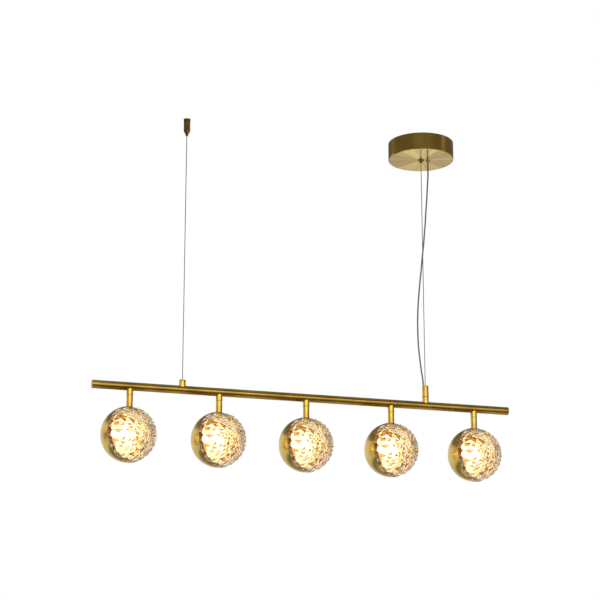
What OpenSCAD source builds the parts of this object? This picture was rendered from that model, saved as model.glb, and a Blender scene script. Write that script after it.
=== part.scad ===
// Pendant light with five swivelling globe heads under one brass bar.
// The bar hangs on two steel wires, and a single cable brings the power down from the canopy.
// The origin is the centre of the canopy on the ceiling, +X runs along the bar and +Z is up.

/* [Suspension] */
// From the ceiling to the bar's axis
drop = 518; // [420:1:1500]
// Distance between the two wires
wire_spacing = 462; // [340:1:560]
// Diameter of a steel wire
wire_d = 1.5; // [1:0.1:1.8]
// Diameter of the power cable
cable_d = 2.8; // [2.2:0.1:3]
// Diameter of the ferrule pressed on the lower end of a wire
ferrule_d = 4.2; // [3.6:0.1:4.4]
// Length of that ferrule
ferrule_length = 5; // [3:0.1:6]

/* [Bar] */
// Length of the bar over its end caps
bar_length = 789; // [760:1:1000]
// Outer diameter of the bar's tube
bar_d = 15; // [14:0.5:20]
// Wall of the tube
bar_wall = 1; // [0.8:0.1:1.4]
// Thickness of an end cap outside the tube
cap_thickness = 2; // [1:0.1:5]
// Length of an end cap's plug inside the tube
plug_length = 6; // [3:0.5:15]
// Height of the left wire fitting above the tube
left_fitting_height = 10.5; // [9:0.5:20]
// Height of the right fitting's collar above the tube
right_collar_height = 9; // [5:0.5:16]
// Height of the right fitting's sleeve above its collar
sleeve_height = 21.5; // [16:0.5:40]
// Thickness of the sleeve's closed top
sleeve_top = 6; // [3:0.5:8]
// Diameter of the fittings on the bar
fitting_d = 12; // [11.6:0.1:13]
// Distance from the wire to the cable in the sleeve's top
cable_offset = 3.8; // [3.6:0.1:4]

/* [Heads] */
// Distance between neighbouring heads
head_pitch = 163; // [130:1:175]
// From the bar's axis down to the centre of a globe
head_drop = 87; // [80:1:140]
// Diameter of a globe
globe_d = 100; // [96:1:110]
// Wall of the glass dome
glass_wall = 4; // [3:0.1:6]
// Wall of the spun back shell
shell_wall = 1; // [0.8:0.1:1.6]
// Turn of every head from straight ahead, as the heads are shown
head_turn = 31.5; // [-90:0.5:90]
// Turn from straight ahead to each stop
swivel_range = 165; // [150:1:166]
// Diameter of a stem
stem_d = 11.5; // [11:0.1:12]
// Bore of a stem, for the lamp wires
stem_bore = 4.6; // [3:0.1:4.8]
// Diameter of the threaded end that holds the globe
stem_end_d = 8; // [6:0.1:9]
// Height of a swivel collar under the tube
collar_height = 8.5; // [7.5:0.1:14]
// Diameter of the stem's spigot in the swivel collar
spigot_d = 7; // [6.4:0.1:7.2]
// Thickness of the washer between collar and stem
washer_thickness = 0.5; // [0.3:0.1:1.5]

/* [Cut glass] */
// Diamonds round the dome
diamonds_round = 20; // [14:2:24]
// Rows of diamonds from rim to crown
diamond_rows = 9; // [5:1:10]
// Height of a diamond over its width
diamond_aspect = 1.5; // [1:0.1:2]
// Depth of the cuts between the diamonds at the rim
cut_depth = 1.2; // [0.4:0.1:1.8]

/* [Lamp inside a globe] */
// Thickness of the heat sink's base
sink_base = 3; // [2:0.1:5]
// Distance from the rim back to the lamp board
lamp_depth = 24; // [20:0.5:26]
// Length of the heat sink's straight ring behind the rim, before the reflector's cone starts
ring_back = 9; // [7.5:0.5:14]
// Wall of the heat sink's ring and cone
sink_wall = 2.5; // [1.5:0.1:4]
// Height of the cooling fins
fin_height = 10; // [4:0.5:12]
// Number of cooling fins
fin_count = 5; // [3:1:7]
// Thickness of the lamp board
board_thickness = 1.6; // [1:0.1:2]
// Diameter of the ball that the opal cover is a part of
opal_d = 50; // [46:1:54]
// Height of the opal cover over the lamp board's seat
opal_height = 36; // [30:0.5:38]
// Wall of the opal cover
opal_wall = 1.5; // [1:0.1:2]

/* [Canopy] */
// Outer diameter of the canopy
canopy_d = 125; // [122:1:160]
// Height of the canopy
canopy_height = 33.5; // [30:0.5:60]
// Wall of the canopy cover
canopy_wall = 1.2; // [0.8:0.1:2]
// Radius of the canopy's lower edge
canopy_corner = 1.5; // [1.3:0.1:6]
// Diameter of the ceiling plate
plate_d = 112; // [108:1:118]
// Thickness of the ceiling plate
plate_thickness = 1.5; // [1:0.1:3]
// Distance between the two mounting slots
slot_spacing = 84; // [70:1:90]
// Length of a mounting slot
slot_length = 12; // [8:0.5:14]
// Width of a mounting slot
slot_width = 5; // [4:0.1:6]
// Distance from the canopy's centre to the cable
cable_exit = 14; // [12:0.5:20]

/* [Left ceiling anchor] */
// Diameter of the anchor's flange
anchor_flange_d = 13; // [13:0.5:30]
// Thickness of that flange
anchor_flange = 3; // [2:0.1:4]
// Diameter of the anchor's barrel
anchor_d = 12; // [11:0.1:16]
// From the ceiling to the tip of the barrel
anchor_length = 28; // [27:0.5:50]
// Height of the cone at the barrel's tip
anchor_cone = 4; // [2:0.1:5]
// Diameter of the hole for the ceiling screw
screw_d = 4.2; // [3.2:0.1:4.4]

/* [Wire grippers] */
// Diameter of the release plunger
plunger_d = 5.5; // [5.2:0.1:5.6]
// Length of plunger that stands out of the left anchor
left_nipple = 4.8; // [3:0.1:8]
// Length of plunger that stands out of the canopy
canopy_nipple = 2.8; // [2.2:0.1:6]
// Diameter of a clamping ball
ball_d = 2.2; // [2:0.1:2.3]
// Diameter of the hollow stud above the spring
stud_d = 8; // [7.8:0.1:8.1]
// Diameter of the gripper's neck inside the canopy
neck_d = 9.4; // [9.2:0.1:10]
// Diameter of the gripper's head under the canopy
grip_head_d = 11; // [10.6:0.1:16]
// Height of that head
grip_head = 2.5; // [1.5:0.1:4]
// Wire diameter of the spring
spring_wire = 0.6; // [0.4:0.1:0.8]
// Turns of the spring
spring_turns = 5; // [3:1:6]

/* [Hidden] */
$fn = 72;
fine_sphere = 180;
eps = 0.01;
// Clearances: seats that never move, running fits and gaps between bodies that move apart
seat_gap = 0.05;
run_gap = 0.05;
slide_gap = 0.1;
body_gap = 0.3;

head_count = 5;

// Places
left_x = -wire_spacing;
bar_x = left_x / 2;
function head_x(i) = bar_x + (i - (head_count + 1) / 2) * head_pitch;

// Bar and its fittings, measured from the bar's axis
bar_r = bar_d / 2;
tube_bore_r = bar_r - bar_wall;
neck_depth = 0.5;
fitting_neck_d = 10;
fitting_bore = 8.6;
neck_overlap = 1;
left_neck_d = 8;
left_top = bar_r + left_fitting_height;
left_roof = 4;
ferrule_bore = ferrule_d + 8 * slide_gap;
collar_top = bar_r + right_collar_height;
sleeve_end = collar_top + sleeve_height;
sleeve_wall = 1;
sleeve_bore = fitting_d - 2 * sleeve_wall;
sleeve_spigot_d = sleeve_bore - 4 * seat_gap;
sleeve_spigot = 4;
wire_hole = wire_d + 2 * body_gap;
cable_hole = cable_d + 2 * body_gap;
edge = 0.6;

// Wiring inside the bar
loom_d = 3;
lead_d = 1.8;
loom_z = -(tube_bore_r - neck_depth - body_gap - loom_d / 2);
riser_offset = 3.2;
tail_overhang = 2;

// Swivel, measured down from the bar's axis
collar_bottom = -bar_r - collar_height;
collar_neck_top = -tube_bore_r + neck_depth;
collar_floor = 4;
swivel_bore = spigot_d + 2 * run_gap;
shoulder_z = collar_bottom + collar_floor;
lip_d = fitting_bore - 4 * slide_gap;
lip_height = 1.15;
tab_height = 2;
tab_r = 2.7;
tab_gap = 0.2;
tab_spare_angle = 0.5;
tab_w = 2 * tab_r * sin((180 - swivel_range) / 2 - tab_spare_angle);
stem_top = collar_bottom - washer_thickness - 2 * run_gap;
washer_d = stem_d - 5 * slide_gap;
lip_z = shoulder_z + run_gap;
finger_z = lip_z + lip_height;

// Globe, measured from its centre, with the glass axis running forward
globe_r = globe_d / 2;
glass_inner_r = globe_r - glass_wall;
shell_inner_r = globe_r - shell_wall;
rim_gap = body_gap;
glass_bond = 0.8;
shell_bond = 0.4;
ring_r = glass_inner_r - glass_bond;
flange_r = shell_inner_r - shell_bond;
flange_back = 4;
ring_front = 3;
stem_foot = 4;
stem_overlap = 1;
stem_end_length = 7.2;
stem_end_z = ring_r - stem_end_length;
boss_floor = 1;
boss_bottom = stem_end_z - boss_floor;
boss_step = 0.7;
boss_top = ring_r - boss_step;
boss_d = 14;
notch_d = stem_end_d + 2 * body_gap;

// The opal cover is a ball cut off at the lamp's seat, and the board lies inside its foot
opal_r = opal_d / 2;
opal_z = opal_height - opal_r;
foot_r = sqrt(pow(opal_r, 2) - pow(opal_z, 2));
board_gap = 0.8;
board_r = sqrt(pow(opal_r - opal_wall, 2) - pow(opal_z, 2)) - board_gap;
seat_margin = 2.5;
seat_r = foot_r + seat_margin;
fin_thickness = 1.6;
fin_reach = seat_r + sink_wall;
chip = 3;
chip_height = 0.7;
// Distance of each ring of chips from the board's edge, and its number of chips
chip_rings = [[3.5, 12], [11, 6]];

// Diamond rows lie on two crossing families of spirals, so they shrink evenly toward the crown
row_step = diamond_aspect * PI / diamonds_round;
rim_angle = acos(rim_gap / globe_r);
crown_rise = cut_depth / 4;
function row_angle(j) = 2 * atan(tan(rim_angle / 2) * exp(-row_step * j));
function raised(j, k) = (j + k) % 2 == 0;
function glass_r(j, k) = globe_r - (raised(j, k) ? 0 : cut_depth * sin(row_angle(j)));
function on_glass(r, polar, turn) =
    [r * sin(polar) * cos(turn), r * sin(polar) * sin(turn), r * cos(polar)];
function rim_point(r, turn) = [r * cos(turn), r * sin(turn), rim_gap];
function glass_point(j, k) =
    j == 0
        ? rim_point(glass_r(j, k), k * 180 / diamonds_round)
        : on_glass(glass_r(j, k), row_angle(j), k * 180 / diamonds_round);

// Wire grippers, measured up from the tip of the barrel
tip_bore_length = 5;
taper_length = 6;
taper_d = plunger_d + 5 * slide_gap;
tip_land = 2.5;
grip_bore = stud_d + 2 * seat_gap;
ball_z = 8.5;
ball_hole = ball_d + body_gap;
ball_ring_r = wire_d / 2 + body_gap + ball_d / 2;
plunger_top = 10.5;
plunger_head = 1;
plunger_head_d = 6.9;
stud_z = 19;
spring_r = 3.25;
spring_steps = 8;
spring_sides = 6;
spring_seat = 0.1;
spring_bottom = plunger_top + plunger_head + spring_seat + spring_wire / 2;
spring_rise = stud_z - spring_seat - spring_wire / 2 - spring_bottom;
spring_path = [
    for (s = [0:spring_turns * spring_steps])
        let (turn = s * 360 / spring_steps, rise = spring_rise * s / (spring_turns * spring_steps))
        [spring_r * cos(turn), spring_r * sin(turn), spring_bottom + rise]
];
wire_end_z = 17;
anchor_tip = -anchor_length;
canopy_tip = -canopy_height - grip_head;
neck_gap = 8;
neck_top = -plate_thickness - neck_gap;
stud_bore = 4;
screw_head_wall = 1;

// Canopy
canopy_r = canopy_d / 2;
bush_d = 6;
bush_flange_d = 8;
bush_flange = 1.2;
bush_nut_d = 9;
bush_nut = 2;
driver = [66, 32, 20];
driver_y = 12;
driver_end = 11;
driver_end_height = 15;
driver_corner = 3;
block = [30, 16, 12];
block_y = -14;
poles = 3;
pole_d = 4;
pole_depth = 7;
lead_hole_d = 3;
lead_hole_z = 6;
mains_hole = 12;
mains_y = -42;

// Route of the power cable, from the canopy down to the sleeve. X is measured from the right wire
cable_route = [
    [14, 0, -26],
    [14, 0, -40],
    [13.5, -0.5, -65],
    [11.5, -1, -90],
    [9.5, -2, -114],
    [7, -3, -138],
    [5, -3.5, -162],
    [2.5, -4, -186],
    [0, -4.5, -210],
    [-3, -4.5, -234],
    [-5.5, -4.5, -258],
    [-8.5, -4.5, -282],
    [-11, -4.5, -306],
    [-13, -4.5, -330],
    [-14, -4, -354],
    [-14, -3.5, -378],
    [-13, -2.5, -402],
    [-10.5, -1.5, -426],
    [-7.5, -0.5, -450],
    [-4.6, 0, -468],
    [-3.8, 0, -480],
    [-3.8, 0, -486]
];
cable_steps = 3;
cable_sides = 8;

// A smooth curve through the route's points
function spline(p, i, t) =
    let (a = p[max(i - 1, 0)], b = p[i], c = p[i + 1], d = p[min(i + 2, len(p) - 1)])
    0.5 * (2 * b + (c - a) * t + (2 * a - 5 * b + 4 * c - d) * t * t + (3 * b - 3 * c + d - a) * t * t * t);
cable_path = concat(
    [for (i = [0:len(cable_route) - 2], s = [0:cable_steps - 1]) spline(cable_route, i, s / cable_steps)],
    [cable_route[len(cable_route) - 1]]
);
function unit(v) = v / norm(v);
function tangent(p, i) = unit(p[min(i + 1, len(p) - 1)] - p[max(i - 1, 0)]);

// A tube of the given radius along a path. Beside is a direction that the path never takes
module tube_along(path, r, sides, beside) {
    rings = len(path);
    points = [
        for (i = [0:rings - 1])
            let (t = tangent(path, i), u = unit(cross(t, beside)), v = cross(t, u))
            for (s = [0:sides - 1]) path[i] + r * (cos(s * 360 / sides) * u + sin(s * 360 / sides) * v)
    ];
    walls = [
        for (i = [0:rings - 2], s = [0:sides - 1])
            let (n = (s + 1) % sides, a = i * sides, b = a + sides)
            each [[a + s, b + s, a + n], [a + n, b + s, b + n]]
    ];
    first = [for (s = [0:sides - 1]) s];
    last = [for (s = [sides - 1:-1:0]) (rings - 1) * sides + s];
    polyhedron(points, concat([first], walls, [last]));
}

module ring(outer, inner, height) {
    difference() {
        cylinder(h = height, d = outer);
        translate([0, 0, -eps]) cylinder(h = height + 2 * eps, d = inner);
    }
}

module bored(d, bottom, top) {
    translate([0, 0, bottom - eps]) cylinder(h = top - bottom + 2 * eps, d = d);
}

module post(d, bottom, top) {
    translate([0, 0, bottom]) cylinder(h = top - bottom, d = d);
}

// A post whose far end has a small chamfer. The far end is the top, or the bottom when down is set
module chamfered_post(d, bottom, top, down = false) {
    translate([0, 0, bottom + (down ? edge : 0)]) cylinder(h = top - bottom - edge, d = d);
    translate([0, 0, down ? bottom : top - edge])
        cylinder(h = edge, d1 = down ? d - 2 * edge : d, d2 = down ? d : d - 2 * edge);
}

module slot(length, width, bottom, top) {
    for (side = [-1, 1]) translate([side * (length - width) / 2, 0, 0]) bored(width, bottom, top);
    translate([-(length - width) / 2, -width / 2, bottom - eps])
        cube([length - width, width, top - bottom + 2 * eps]);
}

module rounded_box(size, corner) {
    linear_extrude(height = size[2]) {
        translate([corner, 0]) square([size[0] - 2 * corner, size[1]]);
        translate([0, corner]) square([size[0], size[1] - 2 * corner]);
        for (x = [corner, size[0] - corner], y = [corner, size[1] - corner])
            translate([x, y]) circle(r = corner);
    }
}

module at_left_wire() translate([left_x, 0, 0]) children();
module at_bar() translate([bar_x, 0, -drop]) children();
module at_right_fitting() translate([0, 0, -drop]) children();
module at_left_fitting() translate([left_x, 0, -drop]) children();
module at_swivel(i) translate([head_x(i), 0, -drop]) children();
module at_globe(i) translate([head_x(i), 0, -drop - head_drop]) rotate([0, 0, head_turn]) children();
// Turns +Z to the front of the globe
module facing() rotate([90, 0, 0]) children();
// The bar's outer surface, used to cope what sits on it
module bar_surface() {
    rotate([0, 90, 0]) cylinder(h = 4 * fitting_d, d = bar_d + 2 * seat_gap, center = true);
}

// The ceiling plate carries the driver, the terminals and the hollow stud of the right gripper
module ceiling_plate() {
    stud_bottom = canopy_tip + stud_z;
    color("lightgray")
        difference() {
            union() {
                post(plate_d, -plate_thickness, 0);
                post(stud_d, stud_bottom, -plate_thickness + eps);
            }
            bored(stud_bore, stud_bottom, 0);
            for (side = [-1, 1])
                translate([side * slot_spacing / 2, 0, 0])
                    slot(slot_length, slot_width, -plate_thickness, 0);
            translate([0, mains_y, 0]) bored(mains_hole, -plate_thickness, 0);
        }
}

module cup_profile(r, height, corner) {
    translate([0, -height]) square([r - corner, height]);
    translate([0, corner - height]) square([r, height - corner]);
    translate([r - corner, corner - height]) circle(r = corner);
}

module canopy_cover() {
    inner_height = canopy_height - canopy_wall;
    color("#c8ad62")
        difference() {
            rotate_extrude() intersection() {
                difference() {
                    cup_profile(canopy_r, canopy_height, canopy_corner);
                    cup_profile(canopy_r - canopy_wall, inner_height, canopy_corner - canopy_wall);
                }
                translate([0, -canopy_height]) square([canopy_r, canopy_height]);
            }
            bored(neck_d + 2 * slide_gap, -canopy_height, -inner_height);
            translate([cable_exit, 0, 0]) bored(bush_d + 2 * slide_gap, -canopy_height, -inner_height);
        }
}

module led_driver() {
    color("white")
        translate([-driver[0] / 2, driver_y, -plate_thickness - driver[2]]) {
            translate([driver_end, 0, 0]) cube([driver[0] - 2 * driver_end, driver[1], driver[2]]);
            translate([0, 0, driver[2] - driver_end_height])
                rounded_box([driver[0], driver[1], driver_end_height], driver_corner);
        }
}

module terminal_block() {
    pole_pitch = block[0] / poles;
    bottom = -plate_thickness - block[2];
    color("ivory")
        translate([0, block_y - block[1] / 2, 0])
            difference() {
                translate([-block[0] / 2, -block[1] / 2, bottom]) cube(block);
                for (pole = [0:poles - 1])
                    translate([(pole - (poles - 1) / 2) * pole_pitch, 0, bottom]) {
                        bored(pole_d, 0, pole_depth);
                        translate([0, 0, lead_hole_z])
                            rotate([90, 0, 0])
                                cylinder(h = block[1] + 2 * eps, d = lead_hole_d, center = true);
                    }
            }
}

module cable_bush() {
    inside = canopy_wall - canopy_height;
    color("dimgray")
        translate([cable_exit, 0, 0])
            difference() {
                union() {
                    post(bush_flange_d, -canopy_height - bush_flange, -canopy_height);
                    post(bush_d, -canopy_height - eps, inside + bush_nut);
                    post(bush_nut_d, inside, inside + bush_nut);
                }
                bored(cable_hole, -canopy_height - bush_flange, inside + bush_nut);
            }
}

// The tapered bore that wedges the balls against the wire
module gripper_bore(tip, top) {
    bored(plunger_d + 2 * slide_gap, tip, tip + tip_bore_length + eps);
    translate([0, 0, tip + tip_bore_length]) cylinder(h = taper_length, d1 = taper_d, d2 = grip_bore);
    bored(grip_bore, tip + tip_bore_length + taper_length, top);
}

module plunger(tip, nipple) {
    difference() {
        union() {
            post(plunger_d, tip - nipple, tip + plunger_top);
            post(plunger_head_d, tip + plunger_top, tip + plunger_top + plunger_head);
        }
        bored(wire_hole, tip - nipple, tip + plunger_top + plunger_head);
        for (turn = [0, 120, 240])
            translate([0, 0, tip + ball_z]) rotate([0, 90, turn]) cylinder(h = plunger_d, d = ball_hole);
    }
}

module balls(tip) {
    for (turn = [0, 120, 240])
        rotate([0, 0, turn]) translate([ball_ring_r, 0, tip + ball_z]) sphere(d = ball_d);
}

module spring(tip) {
    translate([0, 0, tip]) tube_along(spring_path, spring_wire / 2, spring_sides, [0, 0, 1]);
}

module canopy_gripper() {
    color("#b8964a")
        difference() {
            union() {
                chamfered_post(grip_head_d, canopy_tip, -canopy_height, down = true);
                post(neck_d, -canopy_height - eps, neck_top);
            }
            gripper_bore(canopy_tip, neck_top);
        }
}

module canopy_plunger() {
    color("#d9c27a") plunger(canopy_tip, canopy_nipple);
}

module canopy_balls() {
    color("silver") balls(canopy_tip);
}

module canopy_spring() {
    color("silver") spring(canopy_tip);
}

// The base is screwed to the ceiling, and the barrel screws onto its stud
module anchor_base() {
    stud_bottom = anchor_tip + stud_z;
    countersink = (stud_d - 2 * screw_head_wall - screw_d) / 2;
    color("#b8964a")
        at_left_wire()
            difference() {
                union() {
                    post(anchor_flange_d, -anchor_flange, 0);
                    post(stud_d, stud_bottom, -anchor_flange + eps);
                }
                bored(screw_d, stud_bottom, 0);
                translate([0, 0, stud_bottom - eps])
                    cylinder(h = countersink, d1 = screw_d + 2 * countersink, d2 = screw_d);
            }
}

module anchor_barrel() {
    color("#c8a24c")
        at_left_wire()
            difference() {
                union() {
                    post(anchor_d, anchor_tip + anchor_cone, -anchor_flange);
                    translate([0, 0, anchor_tip])
                        cylinder(h = anchor_cone, d1 = plunger_d + tip_land, d2 = anchor_d);
                }
                gripper_bore(anchor_tip, -anchor_flange);
            }
}

module anchor_plunger() {
    color("#d9c27a") at_left_wire() plunger(anchor_tip, left_nipple);
}

module anchor_balls() {
    color("silver") at_left_wire() balls(anchor_tip);
}

module anchor_spring() {
    color("silver") at_left_wire() spring(anchor_tip);
}

// A wire with the ferrule that carries the bar at its lower end
module wire(top, ferrule_top) {
    post(wire_d, ferrule_top - eps, top);
    post(ferrule_d, ferrule_top - ferrule_length, ferrule_top);
}

module left_wire() {
    color("silver")
        at_left_wire() wire(anchor_tip + wire_end_z, -drop + left_top - left_roof - body_gap);
}

module right_wire() {
    color("silver") wire(canopy_tip + wire_end_z, -drop + sleeve_end - sleeve_top - body_gap);
}

module power_cable() {
    color("dimgray") tube_along(cable_path, cable_d / 2, cable_sides, [0, 1, 0]);
}

module bar_tube() {
    tube_length = bar_length - 2 * cap_thickness;
    color("#c59f45")
        difference() {
            at_bar() rotate([0, 90, 0])
                difference() {
                    cylinder(h = tube_length, d = bar_d, center = true);
                    cylinder(h = tube_length + 2 * eps, r = tube_bore_r, center = true);
                }
            for (i = [1:head_count])
                at_swivel(i) bored(fitting_neck_d + 2 * seat_gap, -bar_d, 0);
            at_left_fitting() bored(left_neck_d + 2 * seat_gap, 0, bar_d);
            at_right_fitting() bored(fitting_neck_d + 2 * seat_gap, 0, bar_d);
        }
}

// Drawn at the +X end, with the plug toward the middle of the bar
module end_cap() {
    chamfer = edge / 2;
    rotate([0, 90, 0]) {
        post(bar_d, -cap_thickness, -chamfer);
        translate([0, 0, -chamfer]) cylinder(h = chamfer, d1 = bar_d, d2 = bar_d - 2 * chamfer);
        post(2 * tube_bore_r - 2 * seat_gap, -cap_thickness - plug_length, -cap_thickness + eps);
    }
}

module end_cap_left() {
    color("#b38f3c") at_bar() translate([-bar_length / 2, 0, 0]) mirror([1, 0, 0]) end_cap();
}

module end_cap_right() {
    color("#b38f3c") at_bar() translate([bar_length / 2, 0, 0]) end_cap();
}

module left_wire_fitting() {
    color("#d4af50")
        at_left_fitting()
            difference() {
                union() {
                    difference() {
                        chamfered_post(fitting_d, 0, left_top);
                        bar_surface();
                    }
                    post(left_neck_d, tube_bore_r - neck_depth, bar_r + neck_overlap);
                }
                bored(ferrule_bore, tube_bore_r - neck_depth, left_top - left_roof);
                bored(wire_hole, 0, left_top);
            }
}

module right_fitting_collar() {
    color("#d4af50")
        at_right_fitting()
            difference() {
                union() {
                    difference() {
                        post(fitting_d, 0, collar_top);
                        bar_surface();
                    }
                    post(fitting_neck_d, tube_bore_r - neck_depth, bar_r + neck_overlap);
                    post(sleeve_spigot_d, collar_top - eps, collar_top + sleeve_spigot);
                }
                bored(fitting_bore, 0, collar_top + sleeve_spigot);
            }
}

module right_fitting_sleeve() {
    color("#d4af50")
        at_right_fitting()
            difference() {
                chamfered_post(fitting_d, collar_top, sleeve_end);
                bored(sleeve_bore, collar_top, sleeve_end - sleeve_top);
                bored(wire_hole, collar_top, sleeve_end);
                translate([-cable_offset, 0, 0]) bored(cable_hole, collar_top, sleeve_end);
            }
}

// The lamp wires lie along the tube, with a tail into every swivel and a riser into the sleeve
module bar_wiring() {
    tail_bottom = collar_bottom - tail_overhang;
    color("firebrick") {
        at_bar() translate([0, 0, loom_z]) rotate([0, 90, 0])
            cylinder(h = (head_count - 1) * head_pitch, d = loom_d, center = true);
        for (i = [1:head_count]) at_swivel(i) post(lead_d, tail_bottom, loom_z);
        at_right_fitting() translate([-riser_offset, 0, 0])
            post(lead_d, loom_z, sleeve_end - sleeve_top - body_gap);
    }
}

module swivel_washers() {
    color("#3a3226")
        for (i = [1:head_count])
            at_swivel(i) translate([0, 0, stem_top + run_gap])
                ring(washer_d, swivel_bore + 2 * slide_gap, washer_thickness);
}

// The collar holds the stem's lip on its shoulder, and its key stops the stem after swivel_range
module swivel_collar(i) {
    color("#d4af50")
        at_swivel(i) {
            difference() {
                union() {
                    difference() {
                        post(fitting_d, collar_bottom, 0);
                        bar_surface();
                    }
                    post(fitting_neck_d, -bar_r - neck_overlap, collar_neck_top);
                }
                bored(swivel_bore, collar_bottom, shoulder_z);
                bored(fitting_bore, shoulder_z, 0);
            }
            translate([-tab_w / 2, tab_r, finger_z + tab_gap])
                cube([tab_w, fitting_bore / 2 + tab_gap - tab_r, tab_height]);
        }
}

// The stem hangs in its collar and holds the globe on its threaded end
module stem(i) {
    end_z = stem_end_z - head_drop;
    color("#e0bd58")
        translate([head_x(i), 0, -drop]) rotate([0, 0, head_turn])
            difference() {
                union() {
                    difference() {
                        post(stem_d, globe_r - stem_foot - head_drop, stem_top);
                        translate([0, 0, -head_drop]) sphere(r = globe_r + 2 * seat_gap);
                    }
                    post(stem_end_d, end_z, globe_r + stem_overlap - head_drop);
                    post(spigot_d, stem_top - eps, lip_z + eps);
                    post(lip_d, lip_z, finger_z);
                    translate([-tab_w / 2, -lip_d / 2 + seat_gap, finger_z - eps])
                        cube([tab_w, lip_d / 2 - seat_gap - stem_bore / 2, tab_height]);
                }
                bored(stem_bore, end_z, finger_z + tab_height);
            }
}

module back_shell(i) {
    color("#b59a4e")
        at_globe(i)
            difference() {
                facing() difference() {
                    sphere(r = globe_r);
                    sphere(r = shell_inner_r);
                    translate([-globe_d, -globe_d, 0]) cube(2 * globe_d);
                }
                bored(notch_d, 0, globe_d);
            }
}

// The heat sink carries the shell and the glass, bonded to its rim, and its cone is the lamp's reflector
module heat_sink(i) {
    base_front = -lamp_depth;
    base_back = base_front - sink_base;
    color("#d9a964")
        at_globe(i)
            difference() {
                union() {
                    facing() rotate_extrude()
                        polygon([
                            [0, base_back],
                            [seat_r + sink_wall, base_back],
                            [ring_r, -ring_back - sink_base],
                            [ring_r, -flange_back],
                            [flange_r, -flange_back],
                            [flange_r, 0],
                            [ring_r, 0],
                            [ring_r, ring_front],
                            [ring_r - sink_wall, ring_front],
                            [ring_r - sink_wall, -ring_back],
                            [seat_r, base_front],
                            [0, base_front]
                        ]);
                    facing() intersection() {
                        post(2 * fin_reach, base_back - fin_height, base_back + eps);
                        for (n = [0:fin_count - 1])
                            translate([(n - (fin_count - 1) / 2) * 2 * fin_reach / fin_count, 0, 0])
                                translate([-fin_thickness / 2, -fin_reach, base_back - fin_height])
                                    cube([fin_thickness, 2 * fin_reach, fin_height + eps]);
                    }
                    post(boss_d, boss_bottom, boss_top);
                }
                bored(stem_end_d + 2 * seat_gap, boss_bottom, globe_r);
            }
}

module led_module(i) {
    board_front = board_thickness - lamp_depth;
    color("white")
        at_globe(i) facing() {
            post(2 * board_r, -lamp_depth, board_front);
            for (circle = chip_rings, n = [0:circle[1] - 1])
                rotate([0, 0, n * 360 / circle[1]])
                    translate([board_r - circle[0] - chip / 2, -chip / 2, board_front - eps])
                        cube([chip, chip, chip_height + eps]);
        }
}

module diffuser(i) {
    color("ivory")
        at_globe(i) facing() difference() {
            translate([0, 0, opal_z - lamp_depth]) sphere(r = opal_r);
            translate([0, 0, opal_z - lamp_depth]) sphere(r = opal_r - opal_wall);
            translate([-globe_d, -globe_d, -lamp_depth - 2 * globe_d]) cube(2 * globe_d);
        }
}

// The dome's outside is cut in rows of four-sided points that stand between crossing grooves
module cut_diamonds() {
    around = 2 * diamonds_round;
    crown = diamond_rows * around;
    points = concat(
        [for (j = [0:diamond_rows - 1], k = [0:around - 1]) glass_point(j, k)],
        [[0, 0, globe_r * cos(row_angle(diamond_rows - 1)) + crown_rise]]
    );
    facets = [
        for (j = [0:diamond_rows - 2], k = [0:around - 1])
            let (
                n = (k + 1) % around,
                a = j * around + k,
                b = j * around + n,
                c = a + around,
                d = b + around
            )
            each raised(j, k) ? [[a, c, b], [b, c, d]] : [[a, d, b], [a, c, d]]
    ];
    crown_facets = [
        for (k = [0:around - 1]) [crown - around + k, crown, crown - around + (k + 1) % around]
    ];
    rim = [for (k = [0:around - 1]) k];
    polyhedron(points, concat(facets, crown_facets, [rim]));
}

module glass_dome(i) {
    color("#e8c79a")
        at_globe(i)
            difference() {
                facing() difference() {
                    cut_diamonds();
                    sphere(r = glass_inner_r, $fn = fine_sphere);
                }
                bored(notch_d, 0, globe_d);
            }
}

function total_length(p, i = 0) = i >= len(p) - 1 ? 0 : norm(p[i + 1] - p[i]) + total_length(p, i + 1);
echo(str("Power cable length ", round(total_length(cable_path)), " mm"));

// Points of a spring about one turn apart come nearest to each other
spring_gap = min([
    for (s = [0:len(spring_path) - spring_steps - 2], t = [spring_steps - 1:spring_steps + 1])
        norm(spring_path[s + t] - spring_path[s]) - spring_wire
]);
echo(str("Least gap between a spring's turns ", spring_gap, " mm"));

ceiling_plate();
canopy_cover();
led_driver();
terminal_block();
cable_bush();
canopy_gripper();
canopy_plunger();
canopy_balls();
canopy_spring();
anchor_base();
anchor_barrel();
anchor_plunger();
anchor_balls();
anchor_spring();
left_wire();
right_wire();
power_cable();
bar_tube();
end_cap_left();
end_cap_right();
left_wire_fitting();
right_fitting_collar();
right_fitting_sleeve();
bar_wiring();
swivel_washers();
for (i = [1:head_count]) {
    swivel_collar(i);
    stem(i);
    back_shell(i);
    heat_sink(i);
    led_module(i);
    diffuser(i);
    glass_dome(i);
}
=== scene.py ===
"""Looks of a pendant light: five swivelling cut-glass globes under a brass bar on two steel wires."""
import math

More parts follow.
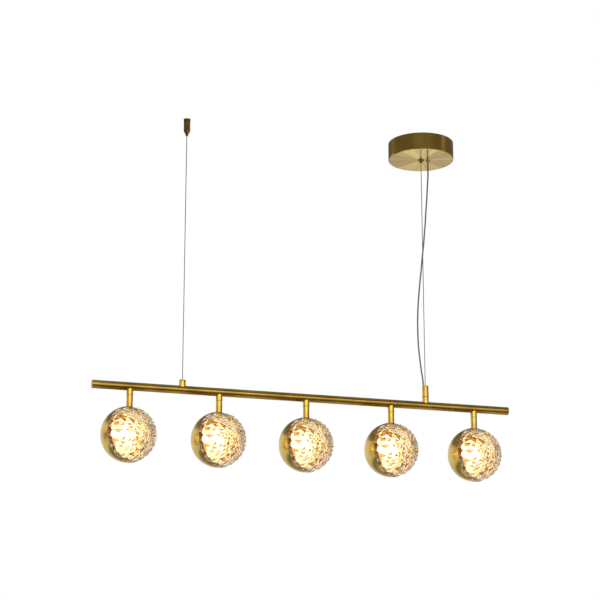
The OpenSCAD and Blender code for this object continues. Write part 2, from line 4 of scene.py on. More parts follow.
import bpy
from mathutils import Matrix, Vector


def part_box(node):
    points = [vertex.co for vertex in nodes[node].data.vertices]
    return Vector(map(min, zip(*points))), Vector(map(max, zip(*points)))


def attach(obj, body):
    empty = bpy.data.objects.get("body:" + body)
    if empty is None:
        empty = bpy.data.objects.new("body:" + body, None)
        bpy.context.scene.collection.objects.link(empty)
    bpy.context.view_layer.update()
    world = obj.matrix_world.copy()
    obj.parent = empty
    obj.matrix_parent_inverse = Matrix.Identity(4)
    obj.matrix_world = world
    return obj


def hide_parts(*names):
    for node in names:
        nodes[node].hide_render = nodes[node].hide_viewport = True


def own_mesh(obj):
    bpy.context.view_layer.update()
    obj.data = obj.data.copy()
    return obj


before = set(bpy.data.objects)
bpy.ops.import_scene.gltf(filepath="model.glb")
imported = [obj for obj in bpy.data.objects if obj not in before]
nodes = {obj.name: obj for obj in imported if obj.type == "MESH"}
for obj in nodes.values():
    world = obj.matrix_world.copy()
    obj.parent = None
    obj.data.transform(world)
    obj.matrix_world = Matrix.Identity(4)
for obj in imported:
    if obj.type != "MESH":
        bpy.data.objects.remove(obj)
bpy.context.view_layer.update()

scene = bpy.context.scene
scene.view_settings.view_transform = "Standard"
# Light turns back inside the cut glass many times before it leaves
scene.cycles.glossy_bounces = 16
scene.cycles.transmission_bounces = 24
scene.cycles.max_bounces = 32

# Sizes of the CAD model, in metres
DROP = 0.518
SPACING = 0.462
PITCH = 0.163
BAR_X = -SPACING / 2
GLOBE_Z = -0.605
HEAD_TURN = math.radians(31.5)
HEADS = range(1, 6)
# The lamp board's face, this far behind the globe's centre, with the chips standing out of it
BOARD_FRONT = 0.0224
# The glass dome's cut outside lies beyond this radius, and its smooth inside within it
CUT_FROM = 0.047
CANOPY_R = 0.0625
WIRE_D = 0.0015
CABLE_D = 0.0028
FERRULE_LENGTH = 0.005
# Each wire's place along the bar, and the height of the gripper's mouth, where it can bend
WIRES = {"left": (-SPACING, -0.034), "right": (0.0, -0.0393)}
# The height of the fixed end of each gripper's release spring
SPRINGS = {"canopy": -0.017, "anchor": -0.009}

# The camera that was fitted to the photo
FRAME_PIXELS = 600
FOCAL_PIXELS = 1866.05
SENSOR_WIDTH = 36
CAMERA_AT = (-1.16692, -3.18188, -1.28892)
CAMERA_UP = math.radians(16.092)
CAMERA_AROUND = math.radians(-16.197)


# Camera: below the light and to its left, with a long lens
def add_camera():
    data = bpy.data.cameras.new("camera")
    camera = bpy.data.objects.new("camera", data)
    scene.collection.objects.link(camera)
    data.sensor_width = SENSOR_WIDTH
    data.lens = SENSOR_WIDTH * FOCAL_PIXELS / FRAME_PIXELS
    camera.location = CAMERA_AT
    camera.rotation_euler = (math.radians(90) + CAMERA_UP, 0, CAMERA_AROUND)
    scene.camera = camera


add_camera()


# Meshes
def add_mesh(name, points, faces, smooth=True):
    mesh = bpy.data.meshes.new(name)
    mesh.from_pydata([tuple(p) for p in points], [], faces)
    mesh.validate()
    mesh.update()
    mesh.polygons.foreach_set("use_smooth", [smooth] * len(mesh.polygons))
    piece = bpy.data.objects.new(name, mesh)
    scene.collection.objects.link(piece)
    return piece


def spline(route, steps):
    """The route's smooth curve, as the CAD source draws it, with this many steps from point to point."""
    points = [Vector(p) for p in route]
    made = []
    for i in range(len(points) - 1):
        a, b, c = points[max(i - 1, 0)], points[i], points[i + 1]
        d = points[min(i + 2, len(points) - 1)]
        for s in range(steps):
            t = s / steps
            slope = c - a
            curve = 2 * a - 5 * b + 4 * c - d
            twist = 3 * b - 3 * c + d - a
            made.append((2 * b + slope * t + curve * t**2 + twist * t**3) / 2)
    return made + [points[-1]]


def tube(path, radius, sides):
    """Points and faces of a closed tube along a path that never runs along Y."""
    beside = Vector((0, 1, 0))
    last = len(path) - 1
    points = []
    for i, centre in enumerate(path):
        ahead = (path[min(i + 1, last)] - path[max(i - 1, 0)]).normalized()
        across = ahead.cross(beside).normalized()
        other = ahead.cross(across)
        for s in range(sides):
            turn = 2 * math.pi * s / sides
            points.append(centre + radius * (math.cos(turn) * across + math.sin(turn) * other))
    faces = []
    for i in range(last):
        for s in range(sides):
            n = (s + 1) % sides
            faces.append((i * sides + s, (i + 1) * sides + s, (i + 1) * sides + n, i * sides + n))
    faces.append(tuple(range(sides)))
    faces.append(tuple(last * sides + s for s in reversed(range(sides))))
    return points, faces


def add_lathe(name, profile, centre, sides, stretch):
    """A turned piece from its profile of (radius, height) points, whose first and last lie on the axis."""
    points = [Vector((0, 0, profile[0][1] * stretch))]
    rings = profile[1:-1]
    for radius, height in rings:
        for s in range(sides):
            turn = 2 * math.pi * s / sides
            points.append(Vector((radius * math.cos(turn), radius * math.sin(turn), height * stretch)))
    points.append(Vector((0, 0, profile[-1][1] * stretch)))
    end = len(points) - 1
    faces = []
    for s in range(sides):
        n = (s + 1) % sides
        faces.append((0, 1 + n, 1 + s))
        faces.append((end, end - sides + s, end - sides + n))
        for r in range(len(rings) - 1):
            a = 1 + r * sides
            faces.append((a + s, a + n, a + sides + n, a + sides + s))
    return add_mesh(name, [p + Vector(centre) for p in points], faces)


# The power cable, from the mouth of the canopy's bush down to the sleeve on the bar
CABLE_ROUTE = [
    (0.014, 0, -0.0353),
    (0.014, 0, -0.042),
    (0.0135, -0.0005, -0.065),
    (0.0115, -0.001, -0.090),
    (0.0095, -0.002, -0.114),
    (0.007, -0.003, -0.138),
    (0.005, -0.0035, -0.162),
    (0.0025, -0.004, -0.186),
    (0, -0.0045, -0.210),
    (-0.003, -0.0045, -0.234),
    (-0.0055, -0.0045, -0.258),
    (-0.0085, -0.0045, -0.282),
    (-0.011, -0.0045, -0.306),
    (-0.013, -0.0045, -0.330),
    (-0.014, -0.004, -0.354),
    (-0.014, -0.0035, -0.378),
    (-0.013, -0.0025, -0.402),
    (-0.0105, -0.0015, -0.426),
    (-0.0075, -0.0005, -0.450),
    (-0.0046, 0, -0.468),
    (-0.0038, 0, -0.480),
    (-0.0038, 0, -0.486),
]
CABLE_TOP = (0.014, 0, -0.026)
CABLE_STEPS = 10
CABLE_SIDES = 16


def shorten(piece):
    """Gives the piece a mesh of its own."""
    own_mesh(piece)


def add_cable():
    """The cable, which swings below the bush, and its end that is held in the bush."""
    path = spline(CABLE_ROUTE, CABLE_STEPS)
    piece = add_mesh("power_cord", *tube(path, CABLE_D / 2, CABLE_SIDES))
    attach(piece, "suspension")
    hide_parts("power_cable")
    shorten(piece)
    held = add_mesh("power_cord_held", *tube([Vector(CABLE_TOP), path[0]], CABLE_D / 2, CABLE_SIDES))
    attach(held, "ceiling")
    return piece, held


# The suspension wires: six strands laid round a core, and the ferrule pressed on below
OUTER_STRANDS = 6
STRAND_SIDES = 6
LAY = 0.012
STEPS_A_LAY = 10
FERRULE_OVERLAP = 0.001


def strand_path(x, radius, phase, top, bottom):
    count = round((top - bottom) / LAY * STEPS_A_LAY)
    path = []
    for i in range(count + 1):
        z = top + (bottom - top) * i / count
        turn = phase - 2 * math.pi * z / LAY
        path.append(Vector((x + radius * math.cos(turn), radius * math.sin(turn), z)))
    return path


def add_strands(name, x, top, bottom):
    """A stretch of the wire: its core and the strands round it, in one piece."""
    strand_r = WIRE_D / 6
    points, faces = [], []
    for k in range(1 + OUTER_STRANDS):
        radius = 2 * strand_r if k else 0
        phase = k * 2 * math.pi / OUTER_STRANDS
        made, sides = tube(strand_path(x, radius, phase, top, bottom), strand_r, STRAND_SIDES)
        start = len(points)
        points += made
        faces += [tuple(start + n for n in face) for face in sides]
    wire = add_mesh(name, points, faces)
    return wire


def add_wire(side, x, bend_z):
    """A wire from its gripper to its ferrule. It swings below bend_z and is held still above it."""
    low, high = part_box(f"{side}_wire")
    ferrule_top = low.z + FERRULE_LENGTH
    wire_end = ferrule_top - FERRULE_OVERLAP
    wire = add_strands(f"{side}_strand", x, bend_z, wire_end)
    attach(wire, "suspension")
    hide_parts(f"{side}_wire")
    shorten(wire)
    held = add_strands(f"{side}_strand_held", x, high.z, bend_z)
    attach(held, "ceiling")
    ferrule = add_ferrule(f"{side}_ferrule", x, low.z, ferrule_top)
    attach(ferrule, "bar")
    return wire, held, ferrule


def add_coil(side):
    """A gripper's release spring, copied from its CAD node and held on the ceiling."""
    node = nodes[f"{side}_spring"]
    coil = bpy.data.objects.new(f"{side}_coil", node.data.copy())
    scene.collection.objects.link(coil)
    coil.matrix_world = node.matrix_world
    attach(coil, "ceiling")
    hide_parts(f"{side}_spring")
    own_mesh(coil)
    return coil


# The ferrule's outline as (radius, height) points, with rounded ends and two crimps
FERRULE_PROFILE = [
    (0, 0),
    (0.0016, 0),
    (0.00205, 0.0004),
    (0.0021, 0.0011),
    (0.0018, 0.0015),
    (0.0018, 0.0018),
    (0.0021, 0.0022),
    (0.0021, 0.0028),
    (0.0018, 0.0032),
    (0.0018, 0.0035),
    (0.0021, 0.0039),
    (0.00205, 0.0046),
    (0.0016, FERRULE_LENGTH),
    (0, FERRULE_LENGTH),
]
FERRULE_SIDES = 32


def add_ferrule(name, x, bottom, top):
    """The sleeve that is pressed on the wire's lower end."""
    stretch = (top - bottom) / FERRULE_LENGTH
    return add_lathe(name, FERRULE_PROFILE, (x, 0, bottom), FERRULE_SIDES, stretch)


# Shader helpers
def feed(tree, value, socket):
    if isinstance(value, bpy.types.NodeSocket):
        tree.links.new(value, socket)
    else:
        socket.default_value = value


def add_node(tree, kind, inputs=None, **settings):
    made = tree.nodes.new("ShaderNode" + kind)
    for name, value in settings.items():
        setattr(made, name, value)
    for name, value in (inputs or {}).items():
        feed(tree, value, made.inputs[name])
    return made


def calc(tree, operation, *values):
    made = add_node(tree, "Math", operation=operation)
    for i, value in enumerate(values):
        feed(tree, value, made.inputs[i])
    return made.outputs[0]


def vector_calc(tree, operation, *values):
    made = add_node(tree, "VectorMath", operation=operation)
    for i, value in enumerate(values):
        feed(tree, value, made.inputs[i])
    return made.outputs["Value" if operation in ("LENGTH", "DOT_PRODUCT") else "Vector"]


def noise(tree, vector, scale, detail=3.0, roughness=0.5):
    inputs = {"Vector": vector, "Scale": scale, "Detail": detail, "Roughness": roughness}
    return add_node(tree, "TexNoise", inputs).outputs["Fac"]


def spread(tree, value, low, high, to_low=0.0, to_high=1.0):
    """Maps low..high to to_low..to_high, and holds it there outside."""
    inputs = {"Value": value, "From Min": low, "From Max": high, "To Min": to_low, "To Max": to_high}
    return add_node(tree, "MapRange", inputs).outputs["Result"]


def blend_colours(tree, share, first, second):
    made = add_node(tree, "Mix", data_type="RGBA")
    feed(tree, share, made.inputs[0])
    feed(tree, (*first, 1) if isinstance(first, tuple) else first, made.inputs[6])
    feed(tree, (*second, 1) if isinstance(second, tuple) else second, made.inputs[7])
    return made.outputs[2]


def linear(red, green, blue):
    """The linear colour of an sRGB one in 0..255."""
    made = []
    for value in (red / 255, green / 255, blue / 255):
        made.append(value / 12.92 if value <= 0.04045 else ((value + 0.055) / 1.055) ** 2.4)
    return tuple(made)


def find_node(tree, kind):
    return next(n for n in tree.nodes if n.type == kind)


def new_material(name):
    material = bpy.data.materials.new(name)
    material.use_nodes = True
    tree = material.node_tree
    return material, tree, find_node(tree, "BSDF_PRINCIPLED")


def component(tree, vector, axis):
    """The vector's part along X, Y or Z."""
    return add_node(tree, "SeparateXYZ", {"Vector": vector}).outputs["XYZ".index(axis)]


def rotate_z(tree, vector, angle):
    inputs = {"Vector": vector, "Angle": angle}
    return add_node(tree, "VectorRotate", inputs, rotation_type="Z_AXIS").outputs[0]


# Coordinates in which the pieces are painted, in metres
def place(tree):
    return add_node(tree, "TexCoord").outputs["Object"]


def wrapped(tree, vector, centre, pitch, drop=0.0):
    """The place relative to the nearest of a row of centres along X, and to a height."""
    parts = add_node(tree, "SeparateXYZ", {"Vector": vector})
    x = calc(tree, "WRAP", calc(tree, "SUBTRACT", parts.outputs[0], centre), pitch / 2, -pitch / 2)
    z = calc(tree, "SUBTRACT", parts.outputs[2], drop)
    return add_node(tree, "CombineXYZ", {"X": x, "Y": parts.outputs[1], "Z": z}).outputs[0]


def upright(tree):
    """Coordinates of the pieces on the two suspension lines."""
    return wrapped(tree, place(tree), 0.0, SPACING)


def at_head(tree):
    """Coordinates of a head's stem, from the globe's centre."""
    return wrapped(tree, place(tree), BAR_X, PITCH, GLOBE_Z)


def in_globe(tree):
    """Coordinates in a globe, turned so that the glass looks along -Y."""
    return rotate_z(tree, at_head(tree), -HEAD_TURN)


def along_bar(tree):
    """Coordinates of the bar, from its axis."""
    return vector_calc(tree, "SUBTRACT", place(tree), (0, 0, -DROP))


# Metals
AXES = {"X": (1, 0, 0), "Y": (0, 1, 0), "Z": (0, 0, 1)}
# Brushing lines to the metre along the axis, and their unevenness round it
LINES_ALONG = 3000.0
LINES_ROUND = 3.0
# How much of the distance from the axis counts as depth, so that end faces have their rings too
RADIUS_SHARE = 0.7
SLOW_TONE_SCALE = 28.0
FINE_SHARE = 0.55
BRUSHING_DEPTH = 0.00002


def turned(tree, vector, axis):
    """For a piece turned about an axis through the origin: the way out, the depth and the tangent."""
    along = vector_calc(tree, "MULTIPLY", vector, AXES[axis])
    out = vector_calc(tree, "SUBTRACT", vector, along)
    radius = vector_calc(tree, "LENGTH", out)
    radius_part = calc(tree, "MULTIPLY", radius, RADIUS_SHARE)
    depth = calc(tree, "ADD", component(tree, along, axis), radius_part)
    round_it = vector_calc(tree, "NORMALIZE", out)
    tangent = vector_calc(tree, "CROSS_PRODUCT", AXES[axis], out)
    return round_it, depth, tangent


def scaled(tree, vector, scale):
    made = add_node(tree, "VectorMath", operation="SCALE")
    feed(tree, vector, made.inputs[0])
    feed(tree, scale, made.inputs["Scale"])
    return made.outputs[0]


def brushed_metal(name, colours, space, axis, rough=(0.24, 0.36), anisotropy=0.6, bump=0.15, turn=0.0):
    """Satin metal with fine lines round its axis, a slow change of tone and rubbed spots.

    Space gives the piece's coordinates, and turn is the angle by which they are turned from the object's.
    """
    material, tree, shader = new_material(name)
    dark, light = colours
    vector = space(tree)
    round_it, depth, tangent = turned(tree, vector, axis)
    lines_at = scaled(tree, AXES[axis], calc(tree, "MULTIPLY", depth, LINES_ALONG))
    around = scaled(tree, round_it, LINES_ROUND)
    fine = noise(tree, vector_calc(tree, "ADD", lines_at, around), 1.0, 4.0, 0.6)
    slow = noise(tree, vector, SLOW_TONE_SCALE, 2.0)
    fine_part = calc(tree, "MULTIPLY", fine, FINE_SHARE)
    tone = calc(tree, "ADD", fine_part, calc(tree, "MULTIPLY", slow, 1 - FINE_SHARE))
    colour = blend_colours(tree, spread(tree, tone, 0.36, 0.64), dark, light)
    feed(tree, colour, shader.inputs["Base Color"])
    feed(tree, spread(tree, tone, 0.3, 0.7, rough[1], rough[0]), shader.inputs["Roughness"])
    shader.inputs["Metallic"].default_value = 1.0
    shader.inputs["Anisotropic"].default_value = anisotropy
    shader.inputs["Anisotropic Rotation"].default_value = 0.25
    if turn:
        tangent = rotate_z(tree, tangent, turn)
    spaces = {"vector_type": "VECTOR", "convert_from": "OBJECT", "convert_to": "WORLD"}
    in_world = add_node(tree, "VectorTransform", {"Vector": tangent}, **spaces)
    feed(tree, in_world.outputs[0], shader.inputs["Tangent"])
    relief = add_node(tree, "Bump", {"Strength": bump, "Distance": BRUSHING_DEPTH, "Height": fine})
    feed(tree, relief.outputs[0], shader.inputs["Normal"])
    return material


# The middle line of the fan-shaped light and shade painted on the canopy's face, and its face's edge, where
# it turns into the wall
FAN_LINE = (-0.34, -0.94, 0)
FACE_R = CANOPY_R - 0.0005
PAINTED_FAN_SHADE = linear(160, 128, 54)
PAINTED_FAN_LIGHT = linear(240, 216, 138)
WIDE_SHARE = 0.55


def painted_fans(tree, vector):
    """Painted light and shade spreading like a fan from the middle of a turned face, 0 to 1."""
    out = vector_calc(tree, "NORMALIZE", vector_calc(tree, "MULTIPLY", vector, (1, 1, 0)))
    toward = calc(tree, "ABSOLUTE", vector_calc(tree, "DOT_PRODUCT", out, FAN_LINE))
    wide = calc(tree, "MULTIPLY", spread(tree, toward, 0.55, 1.0), WIDE_SHARE)
    fine = spread(tree, noise(tree, out, 4.0, 2.0), 0.35, 0.65)
    return calc(tree, "ADD", wide, calc(tree, "MULTIPLY", fine, 1 - WIDE_SHARE))


def paint_over(material, share, first, second):
    """Blends two colours into a finished material, where None stands for the colour that it has."""
    tree = material.node_tree
    socket = find_node(tree, "BSDF_PRINCIPLED").inputs["Base Color"]
    finished = socket.links[0].from_socket
    colours = [finished if colour is None else colour for colour in (first, second)]
    feed(tree, blend_colours(tree, share, *colours), socket)


def face_with_painted_fans(name, colours):
    """Brushed metal with painted light and shade spreading like a fan in the colour of its flat face."""
    material = brushed_metal(name, colours, upright, "Z", (0.17, 0.22), 0.8, 0.0)
    tree = material.node_tree
    vector = upright(tree)
    flat = vector_calc(tree, "LENGTH", vector_calc(tree, "MULTIPLY", vector, (1, 1, 0)))
    face = calc(tree, "LESS_THAN", flat, FACE_R)
    # Highlights and shade painted into the flat face's colour, spreading like a fan
    lit = blend_colours(tree, painted_fans(tree, vector), PAINTED_FAN_SHADE, PAINTED_FAN_LIGHT)
    paint_over(material, face, None, lit)
    return material


# A seam is dark to the first distance from its height, and has faded out at the second
SEAM_FADE = (0.0003, 0.0008)
SEAM_DARK = linear(112, 80, 24)


def darken_seam(material, height):
    """A dark line where two pieces of a fitting meet, at this height."""
    tree = material.node_tree
    above = calc(tree, "SUBTRACT", component(tree, place(tree), "Z"), height)
    off = calc(tree, "ABSOLUTE", above)
    paint_over(material, spread(tree, off, *SEAM_FADE), SEAM_DARK, None)


# Each finish as its dark and its light tone
BRASS = (linear(140, 108, 42), linear(182, 146, 68))
BRIGHT_BRASS = (linear(196, 158, 62), linear(228, 192, 84))
SHELL_BRASS = (linear(192, 158, 76), linear(228, 198, 112))
CANOPY_BRASS = (linear(190, 152, 66), linear(222, 186, 96))
SINK_GOLD = (linear(248, 234, 204), linear(253, 243, 220))
BRIGHT_STEEL = (linear(150, 150, 150), linear(205, 205, 205))

brass_x = brushed_metal("bar_brass", BRASS, along_bar, "X", bump=0.08)
brass_z = brushed_metal("gripper_brass", BRASS, upright, "Z")
fitting_brass = brushed_metal("fitting_brass", BRIGHT_BRASS, upright, "Z", bump=0.06)
stem_brass = brushed_metal("stem_brass", BRIGHT_BRASS, at_head, "Z", bump=0.06)
shell_brass = brushed_metal("shell_brass", SHELL_BRASS, in_globe, "Y", (0.26, 0.34), 0.3, 0.08, HEAD_TURN)
canopy_brass = face_with_painted_fans("canopy_brass", CANOPY_BRASS)
darken_seam(fitting_brass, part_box("right_fitting_sleeve")[0].z)
sink_gold = brushed_metal("sink_anodised", SINK_GOLD, in_globe, "Y", (0.5, 0.6), 0.0, 0.02, HEAD_TURN)
steel = brushed_metal("bright_steel", BRIGHT_STEEL, upright, "Z")


def plate_material():
    """Zinc plated sheet with its spangle."""
    material, tree, shader = new_material("zinc_plate")
    vector = place(tree)
    cells = add_node(tree, "TexVoronoi", {"Vector": vector, "Scale": 260.0}).outputs["Color"]
    tone = noise(tree, cells, 3.0)
    colour = blend_colours(tree, tone, linear(140, 145, 148), linear(205, 208, 210))
    feed(tree, colour, shader.inputs["Base Color"])
    feed(tree, spread(tree, tone, 0.3, 0.7, 0.3, 0.5), shader.inputs["Roughness"])
    shader.inputs["Metallic"].default_value = 1.0
    return material


def wire_material():
    """Drawn steel strand, unevenly dulled."""
    material, tree, shader = new_material("wire_steel")
    tone = noise(tree, place(tree), 500.0, 2.0)
    colour = blend_colours(tree, tone, linear(112, 112, 114), linear(142, 142, 144))
    feed(tree, colour, shader.inputs["Base Color"])
    feed(tree, spread(tree, tone, 0.3, 0.7, 0.55, 0.42), shader.inputs["Roughness"])
    shader.inputs["Metallic"].default_value = 1.0
    return material


def plastic(name, dark, light, rough, grain=2500.0, depth=0.00002):
    """Moulded plastic or rubber with a fine grain."""
    material, tree, shader = new_material(name)
    vector = place(tree)
    fine = noise(tree, vector, grain, 3.0)
    slow = noise(tree, vector, 40.0, 2.0)
    colour = blend_colours(tree, spread(tree, slow, 0.3, 0.7), dark, light)
    feed(tree, colour, shader.inputs["Base Color"])
    feed(tree, spread(tree, fine, 0.3, 0.7, rough - 0.06, rough + 0.06), shader.inputs["Roughness"])
    bump = add_node(tree, "Bump", {"Strength": 0.3, "Distance": depth, "Height": fine})
    feed(tree, bump.outputs[0], shader.inputs["Normal"])
    return material


# What stands out of the board's face by more than this is a chip
CHIP_MARGIN = 0.00001


def board_material():
    """White solder mask with yellow lamp chips on it."""
    material, tree, shader = new_material("lamp_board")
    vector = in_globe(tree)
    chip = calc(tree, "LESS_THAN", component(tree, vector, "Y"), BOARD_FRONT - CHIP_MARGIN)
    speckle = spread(tree, noise(tree, vector, 700.0), 0.3, 0.7)
    mask = blend_colours(tree, speckle, linear(228, 228, 222), linear(246, 246, 242))
    feed(tree, blend_colours(tree, chip, mask, linear(235, 205, 90)), shader.inputs["Base Color"])
    feed(tree, spread(tree, chip, 0.0, 1.0, 0.45, 0.25), shader.inputs["Roughness"])
    return material


# The glow's tone, and its strengths within the first radius and beyond the second
GLOW = (1.0, 0.97, 0.66, 1)
GLOW_RADII = (0.01, 0.025)
GLOW_STRENGTHS = (1.65, 1.5)


def opal_material():
    """The lit opal cover, brightest on its crown."""
    material, tree, shader = new_material("opal_cover")
    vector = in_globe(tree)
    radius = vector_calc(tree, "LENGTH", vector_calc(tree, "MULTIPLY", vector, (1, 0, 1)))
    cloud = noise(tree, vector, 60.0, 2.0)
    colour = blend_colours(tree, cloud, linear(250, 240, 218), linear(255, 250, 238))
    feed(tree, colour, shader.inputs["Base Color"])
    shader.inputs["Roughness"].default_value = 0.35
    shader.inputs["Emission Color"].default_value = GLOW
    strength = spread(tree, radius, *GLOW_RADII, *GLOW_STRENGTHS)
    feed(tree, strength, shader.inputs["Emission Strength"])
    return material


# Brown shade painted on the cut glass, for facets that turn light back: a facet takes it where the noise on
# its normal passes these values, which it does more often toward the rim, where the normal turns away from
# the glass's axis
PAINTED_FACET_SHADE = linear(130, 74, 32)
PAINTED_SHADE_SCALE = 7.0
PAINTED_SHADE_FROM = (0.6, 0.63)
RIM_PAINTED_SHADE = 0.07
GLASS_AXIS = (math.sin(HEAD_TURN), -math.cos(HEAD_TURN), 0)
# The tone that is left of light on its way through the glass
GLASS_TINT = (0.9, 0.8, 0.6, 1)
TINT_DENSITY = 60.0


def painted_shade_share(tree, vector):
    """1 on the facets of the dome's outside that get painted shade, else 0."""
    normal = add_node(tree, "TexCoord").outputs["Normal"]
    ahead = vector_calc(tree, "DOT_PRODUCT", normal, GLASS_AXIS)
    near_rim = spread(tree, ahead, 0.2, 0.8, RIM_PAINTED_SHADE, 0.0)
    cut = calc(tree, "ADD", noise(tree, normal, PAINTED_SHADE_SCALE, 0.0), near_rim)
    outside = calc(tree, "GREATER_THAN", vector_calc(tree, "LENGTH", vector), CUT_FROM)
    return calc(tree, "MULTIPLY", outside, spread(tree, cut, *PAINTED_SHADE_FROM))


def glass_material():
    """Amber cut glass. Its tone comes from the light's way through it and from brown shade painted on some
    facets.
    """
    material, tree, shader = new_material("cut_glass")
    vector = in_globe(tree)
    cloud = noise(tree, vector, 30.0, 2.0)
    clear = blend_colours(tree, spread(tree, cloud, 0.3, 0.7), linear(255, 250, 238), linear(255, 252, 244))
    # Brown shade painted on some facets of the cut outside
    colour = blend_colours(tree, painted_shade_share(tree, vector), clear, PAINTED_FACET_SHADE)
    feed(tree, colour, shader.inputs["Base Color"])
    shader.inputs["Transmission Weight"].default_value = 1.0
    shader.inputs["IOR"].default_value = 1.5
    feed(tree, spread(tree, cloud, 0.3, 0.7, 0.0, 0.03), shader.inputs["Roughness"])
    amber = add_node(tree, "VolumeAbsorption", {"Color": GLASS_TINT, "Density": TINT_DENSITY})
    feed(tree, amber.outputs[0], find_node(tree, "OUTPUT_MATERIAL").inputs["Volume"])
    return material


glass = glass_material()
opal = opal_material()
board = board_material()
zinc = plate_material()
wire_steel = wire_material()
jacket = plastic("cable_jacket", linear(96, 96, 98), linear(122, 122, 124), 0.42)
lead = plastic("lead_jacket", linear(120, 26, 16), linear(150, 40, 26), 0.4)
washer = plastic("washer_plastic", linear(40, 34, 26), linear(58, 50, 38), 0.5)
white_case = plastic("driver_plastic", linear(226, 226, 222), linear(240, 240, 236), 0.5, 1200.0, 0.00005)
ivory = plastic("terminal_plastic", linear(224, 218, 196), linear(238, 232, 212), 0.45)
bush = plastic("bush_plastic", linear(176, 150, 92), linear(198, 172, 112), 0.4)


def paint(piece, material):
    piece.data.materials.clear()
    piece.data.materials.append(material)


PAINTS = {
    "ceiling_plate": zinc,
    "canopy_cover": canopy_brass,
    "led_driver": white_case,
    "terminal_block": ivory,
    "cable_bush": bush,
    "canopy_gripper": brass_z,
    "canopy_plunger": brass_z,
    "canopy_balls": steel,
    "canopy_spring": steel,
    "anchor_base": brass_z,
    "anchor_barrel": brass_z,
    "anchor_plunger": brass_z,
    "anchor_balls": steel,
    "anchor_spring": steel,
    "bar_tube": brass_x,
    "end_cap_left": brass_x,
    "end_cap_right": brass_x,
    "left_wire_fitting": fitting_brass,
    "right_fitting_collar": fitting_brass,
    "right_fitting_sleeve": fitting_brass,
    "bar_wiring": lead,
    "swivel_washers": washer,
}
for i in HEADS:
    PAINTS[f"swivel_collar_{i}"] = stem_brass
    PAINTS[f"stem_{i}"] = stem_brass
    PAINTS[f"back_shell_{i}"] = shell_brass
    PAINTS[f"heat_sink_{i}"] = sink_gold
    PAINTS[f"led_module_{i}"] = board
    PAINTS[f"diffuser_{i}"] = opal
    PAINTS[f"glass_dome_{i}"] = glass
for name, material in PAINTS.items():
    paint(nodes[name], material)

for piece in add_cable():
    paint(piece, jacket)
for side, fixed_z in SPRINGS.items():
    paint(add_coil(side), steel)
for side, (x, bend_z) in WIRES.items():
    for piece in add_wire(side, x, bend_z):
        paint(piece, wire_steel)


# Stage: a pale floor, a white surround and soft lamps, with dark cards that only gloss shows
SURROUND_LIGHT = 0.55
SURROUND_SHOWN = 1.0
FLOOR_SIZE = 30.0
FLOOR_HEIGHT = -3.3
FLOOR_GLOW = 0.8
RING_STEP = 2


def shown_share(tree):
    """1 for what the camera, gloss and glass see directly, and 0 for light that falls on things."""
    path = add_node(tree, "LightPath")
    seen = calc(tree, "MAXIMUM", path.outputs["Is Camera Ray"], path.outputs["Is Glossy Ray"])
    return calc(tree, "MAXIMUM", seen, path.outputs["Is Transmission Ray"])


def add_world():
    world = bpy.data.worlds.new("surround")
    scene.world = world
    world.use_nodes = True
    tree = world.node_tree
    background = find_node(tree, "BACKGROUND")
    background.inputs["Color"].default_value = (1, 1, 1, 1)
    strength = spread(tree, shown_share(tree), 0.0, 1.0, SURROUND_LIGHT, SURROUND_SHOWN)
    feed(tree, strength, background.inputs["Strength"])


def add_floor():
    sides = [(-1, -1), (1, -1), (1, 1), (-1, 1)]
    corners = [(x * FLOOR_SIZE, y * FLOOR_SIZE, FLOOR_HEIGHT) for x, y in sides]
    floor = add_mesh("floor", corners, [(0, 1, 2, 3)], False)
    material, tree, shader = new_material("floor")
    grain = noise(tree, place(tree), 12.0)
    colour = blend_colours(tree, grain, (0.78, 0.78, 0.78), (0.82, 0.82, 0.82))
    feed(tree, colour, shader.inputs["Base Color"])
    shader.inputs["Roughness"].default_value = 0.9
    glow = add_node(tree, "Emission", {"Color": (1, 1, 1, 1), "Strength": 1.0})
    mix = add_node(tree, "MixShader")
    feed(tree, calc(tree, "MULTIPLY", shown_share(tree), FLOOR_GLOW), mix.inputs[0])
    feed(tree, shader.outputs[0], mix.inputs[1])
    feed(tree, glow.outputs[0], mix.inputs[2])
    feed(tree, mix.outputs[0], find_node(tree, "OUTPUT_MATERIAL").inputs["Surface"])
    paint(floor, material)


def only_gloss(piece):
    """The piece shows in glossy reflections alone."""
    piece.visible_camera = False
    piece.visible_diffuse = False
    piece.visible_transmission = False
    piece.visible_shadow = False
    piece.visible_volume_scatter = False


def card_material(name, brightness):
    material = bpy.data.materials.new(name)
    material.use_nodes = True
    tree = material.node_tree
    tree.nodes.clear()
    glow = add_node(tree, "Emission", {"Color": (brightness, brightness, brightness, 1), "Strength": 1.0})
    output = add_node(tree, "OutputMaterial")
    feed(tree, glow.outputs[0], output.inputs["Surface"])
    return material


def add_card(name, centre, across, up, material):
    """A flat card from its centre and the vectors to the middle of two of its sides."""
    centre, across, up = Vector(centre), Vector(across), Vector(up)
    corners = [centre - across - up, centre + across - up, centre + across + up, centre - across + up]
    card = add_mesh(name, corners, [(0, 1, 2, 3)], False)
    paint(card, material)
    only_gloss(card)


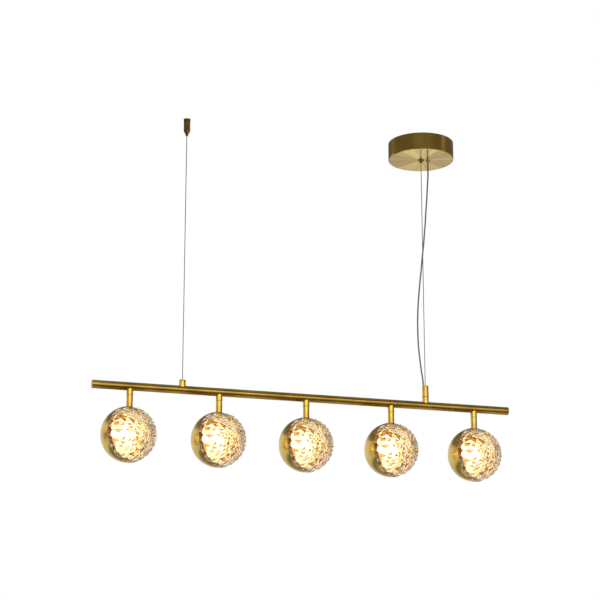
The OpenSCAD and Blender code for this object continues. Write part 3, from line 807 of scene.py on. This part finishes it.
def add_ring_card(name, centre_x, radius, low, high, open_at, material):
    """An upright ring, open at the given headings, each (heading, half width) in degrees from the front."""
    points, faces = [], []
    for degree in range(0, 360, RING_STEP):
        middle = degree + RING_STEP / 2
        if any(abs((middle - heading + 180) % 360 - 180) <= half for heading, half in open_at):
            continue
        start, after = len(points), degree + RING_STEP
        for at, height in ((degree, low), (after, low), (after, high), (degree, high)):
            turn = math.radians(at)
            points.append((centre_x + radius * math.sin(turn), -radius * math.cos(turn), height))
        faces.append((start, start + 1, start + 2, start + 3))
    card = add_mesh(name, points, faces, False)
    paint(card, material)
    only_gloss(card)


def add_lamp(name, place_at, look_at, width, height, radiance):
    """A soft rectangular lamp that shines the same from each point of its face."""
    data = bpy.data.lights.new(name, "AREA")
    data.shape = "RECTANGLE"
    data.size, data.size_y = width, height
    data.energy = radiance * math.pi * width * height
    lamp = bpy.data.objects.new(name, data)
    scene.collection.objects.link(lamp)
    lamp.location = place_at
    lamp.rotation_euler = (Vector(look_at) - Vector(place_at)).to_track_quat("-Z", "Y").to_euler()


add_world()
add_floor()
dark = card_material("dark_card", 0.16)
mid = card_material("mid_card", 0.35)
grey = card_material("grey_card", 0.5)
add_ring_card("card_canopy", 0.0, 0.62, -0.2, 0.75, [(-130, 10), (70, 9)], dark)
add_ring_card("card_left", BAR_X, 2.6, -0.95, -0.25, [(90, 140)], mid)
add_ring_card("card_left_high", BAR_X, 2.6, 0.7, 5.0, [(51, 111)], dark)
add_ring_card("card_left_low", BAR_X, 2.6, -5.0, -1.8, [(51, 111)], dark)
add_card("card_right", (1.8, 0.2, 0.1), (0, 1.3, 0), (0, 0, 0.75), dark)
add_card("card_low", (-0.2, -1.4, -1.75), (2.2, 0, 0), (0, 0.55, -0.45), dark)
add_card("card_above", (-0.25, 0.3, 1.2), (1.6, 0, 0), (0, 1.1, 0), grey)
add_lamp("lamp_front", (-0.5, -2.7, 0.05), (-0.25, 0, -0.4), 3.2, 0.85, 1.9)
add_lamp("lamp_top", (-0.4, -0.6, 1.9), (-0.25, 0, -0.4), 1.8, 1.2, 1.4)
